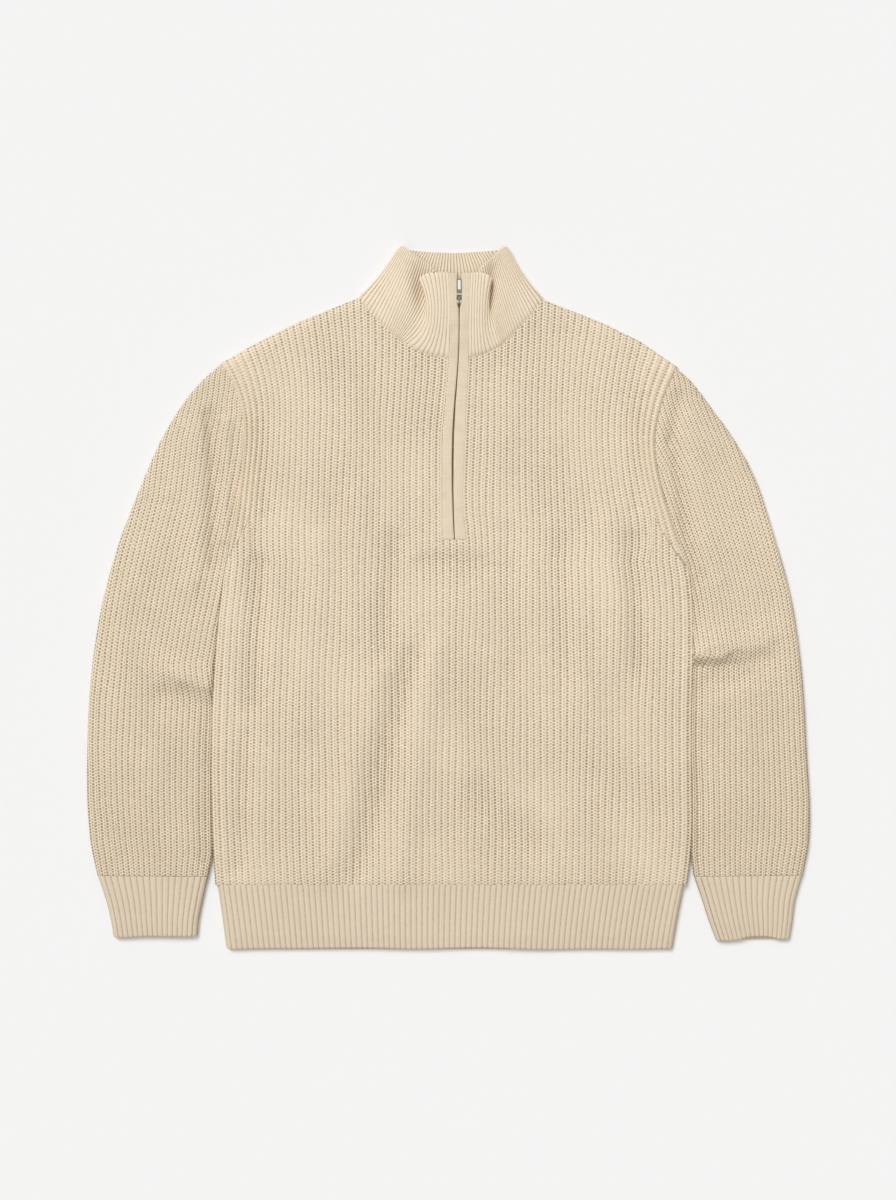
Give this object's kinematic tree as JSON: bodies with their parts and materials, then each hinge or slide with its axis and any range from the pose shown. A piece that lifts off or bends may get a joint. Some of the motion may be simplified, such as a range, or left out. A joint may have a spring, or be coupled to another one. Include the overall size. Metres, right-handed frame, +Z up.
{
  "type": "quarter zip sweater",
  "caption": "Thick rib knit sweater with a stand collar, a short front zip and long sleeves, lying flat on its back.",
  "frame": {"origin": "middle of the sweater's outline on the surface that it lies on", "axes": "+X to the right across the chest as seen from above, +Y from the hem to the collar, +Z up from the surface"},
  "size_m": [0.781, 0.7602, 0.0213],
  "materials": {
    "body_knit": "matt thick rib knit, warm sand",
    "band_knit": "matt finer rib knit, warm sand",
    "placket_knit": "matt fine plain knit, pale sand",
    "zip_tape": "woven tape, sand",
    "zip_metal": "polished and aged nickel"
  },
  "bodies": {
    "sweater": {"back": "body_knit", "front": "body_knit", "hem_back": "band_knit", "hem_front": "band_knit", "sleeve_left": "body_knit", "sleeve_right": "body_knit", "cuff_left": "band_knit", "cuff_right": "band_knit", "collar": "band_knit", "placket_left": "placket_knit", "placket_right": "placket_knit", "zip_tape_left": "zip_tape", "zip_tape_right": "zip_tape", "zip_slider": "zip_metal"},
    "pull": {"zip_pull": "zip_metal"}
  },
  "joints": [
    {"name": "pull_swing", "type": "hinge", "parent": "sweater", "child": "pull", "pos_m": [0.0115, 0.3215, 0.01955], "axis": [1, 0, 0], "range_deg": [0, 170]}
  ]
}
